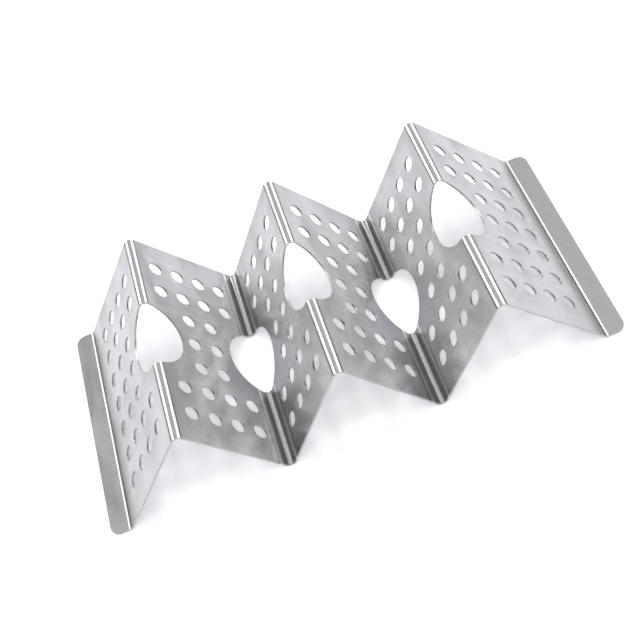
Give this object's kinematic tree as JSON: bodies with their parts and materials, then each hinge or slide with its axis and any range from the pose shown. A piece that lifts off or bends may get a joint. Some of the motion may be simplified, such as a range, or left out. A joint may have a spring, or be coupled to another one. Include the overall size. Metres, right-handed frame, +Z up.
{
  "type": "taco holder",
  "caption": "Zigzag taco holder folded from one perforated stainless steel sheet, with flat end feet, troughs for tacos and a heart-like window across every fold.",
  "frame": {"origin": "on the table plane, under the middle of the holder", "axes": "+X along the length of the holder, across the folds; +Y along the folds; +Z up"},
  "size_m": [0.2064, 0.1, 0.043],
  "materials": {
    "brushed_stainless": "satin, brushed along the length of the holder"
  },
  "bodies": {
    "root": {"folded_sheet": "brushed_stainless"}
  },
  "joints": []
}
